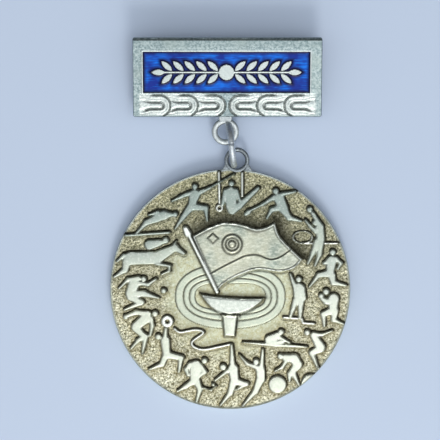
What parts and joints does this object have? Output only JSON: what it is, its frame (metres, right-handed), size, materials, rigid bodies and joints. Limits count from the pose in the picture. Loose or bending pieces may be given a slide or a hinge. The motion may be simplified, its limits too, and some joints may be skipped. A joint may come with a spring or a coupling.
{
  "type": "award medal",
  "caption": "Pin-back sports award medal: struck disc with athletes in relief, hung by a wire jump ring from a blue-enamelled bar with a swivelling needle and hook catch",
  "frame": {"origin": "centre of the disc's flat back, on the surface the medal lies on", "axes": "+X to the right seen from the front, +Y from the disc towards the bar, +Z out of the disc's face"},
  "size_m": [0.04, 0.0617, 0.0077],
  "materials": {
    "disc_silver": "struck satin aluminium with dark patina in the recesses and a faint warm tint on the stippled ground",
    "ring_steel": "bright drawn wire",
    "bar_silver": "satin struck aluminium with a fine grain, dark patina in the engraved band",
    "blue_enamel": "translucent cobalt lacquer enamel over a finely ribbed ground",
    "pin_steel": "nickel-plated pressed steel",
    "rivet_aluminium": "plain rivet heads"
  },
  "bodies": {
    "bar": {"bar_plate": "bar_silver", "enamel_fill": "blue_enamel", "pin_base": "pin_steel", "catch_hook": "pin_steel", "hinge_rivet": "rivet_aluminium", "rivet_left": "rivet_aluminium", "rivet_right": "rivet_aluminium"},
    "needle": {"needle": "pin_steel"},
    "ring": {"jump_ring": "ring_steel"},
    "disc": {"medal_disc": "disc_silver"}
  },
  "joints": [
    {"name": "needle_pivot", "type": "hinge", "parent": "bar", "child": "needle", "pos_m": [-0.01049, 0.03726, 0.0013], "axis": [0, 0.225, -0.9744], "range_deg": [0, 70]},
    {"name": "ring_turn", "type": "hinge", "parent": "bar", "child": "ring", "pos_m": [0.00018, 0.02388, 0.00385], "axis": [-0.9903, -0.1392, 0], "range_deg": [-5, 95]},
    {"name": "disc_sway", "type": "hinge", "parent": "ring", "child": "disc", "pos_m": [0.00055, 0.02124, 0.0019], "axis": [0, 0, 1], "range_deg": [-18, 18]}
  ]
}
